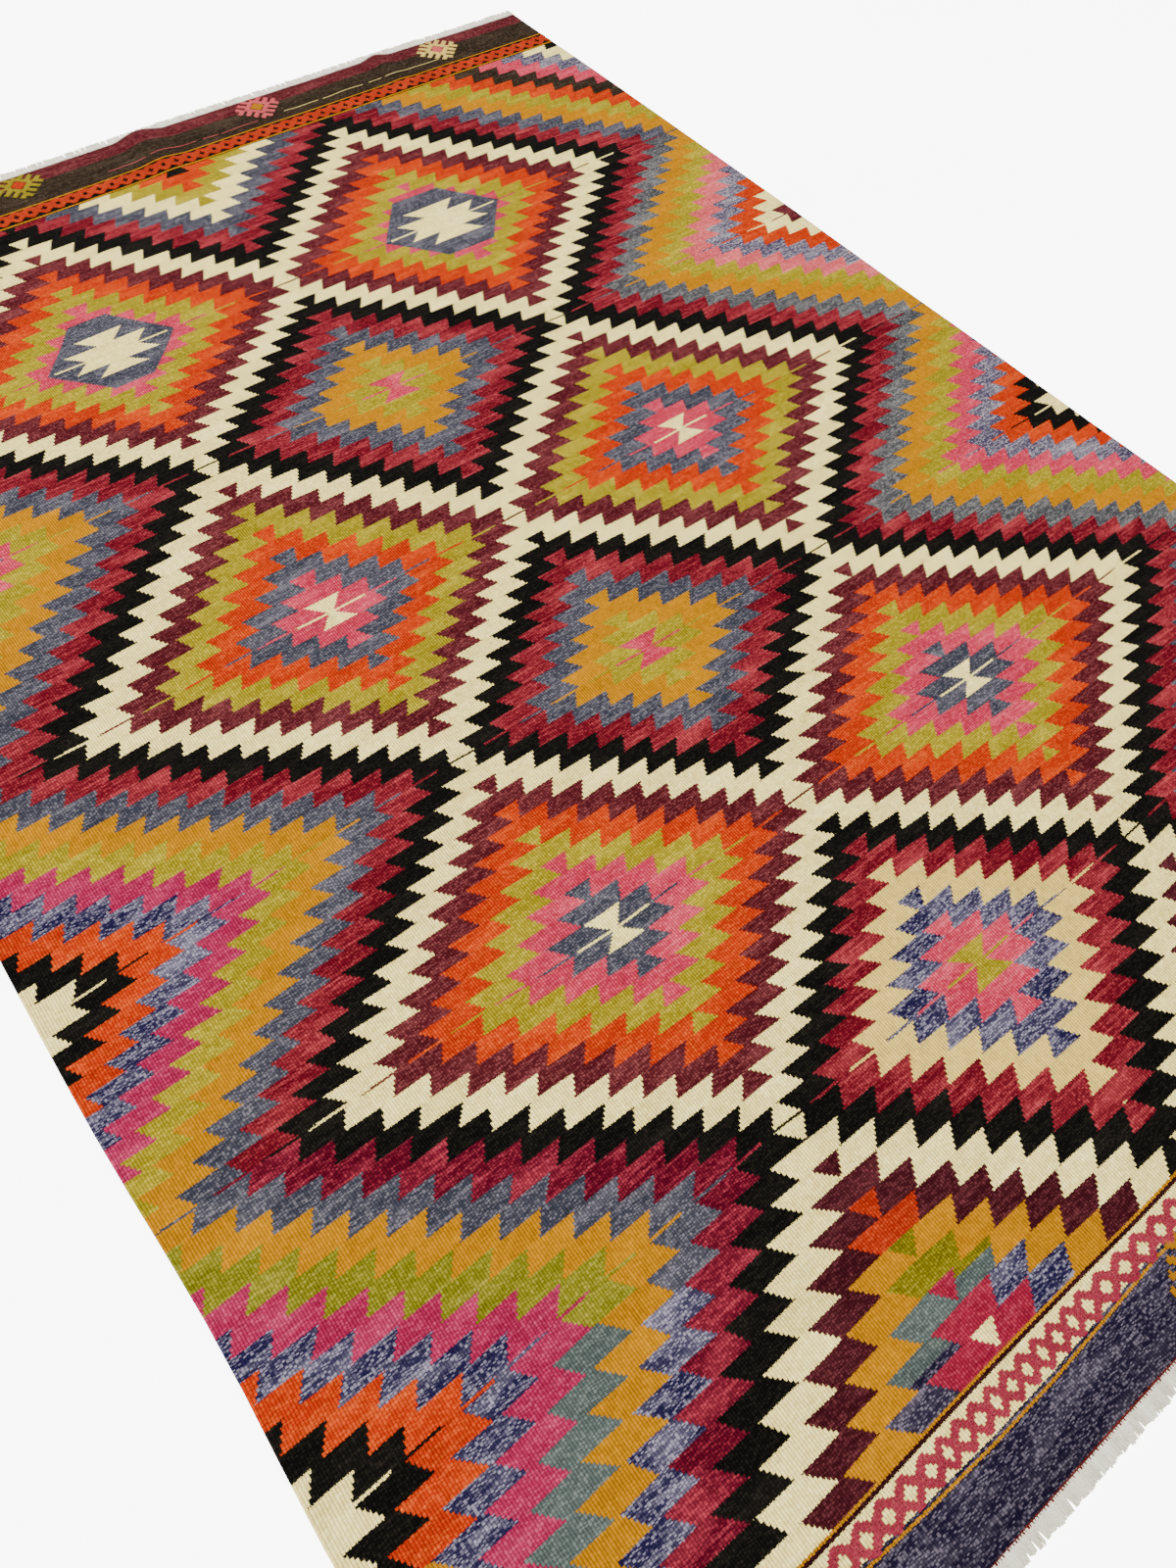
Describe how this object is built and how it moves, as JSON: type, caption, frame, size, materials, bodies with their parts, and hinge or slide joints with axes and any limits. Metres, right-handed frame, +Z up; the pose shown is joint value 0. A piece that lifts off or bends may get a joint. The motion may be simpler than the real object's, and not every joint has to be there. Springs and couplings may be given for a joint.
{
  "type": "kilim rug",
  "caption": "Flat-woven wool kilim lying flat, with stepped serrated diamonds in bands of colour, patterned end borders and a short cut fringe at each end.",
  "frame": {"origin": "middle of the rug's box, on the floor under it", "axes": "+X across the rug, +Y along its warps towards the end with the maroon and brown bands, +Z up from the floor"},
  "size_m": [1.558, 2.258, 0.0105],
  "materials": {
    "kilim_wool": "weft-faced plain weave in dyed wool, matte, ribbed along the warps",
    "fringe_wool": "undyed ivory wool warp ends, matte"
  },
  "bodies": {
    "root": {"kilim": "kilim_wool", "fringe_far": "fringe_wool", "fringe_near": "fringe_wool"}
  },
  "joints": []
}
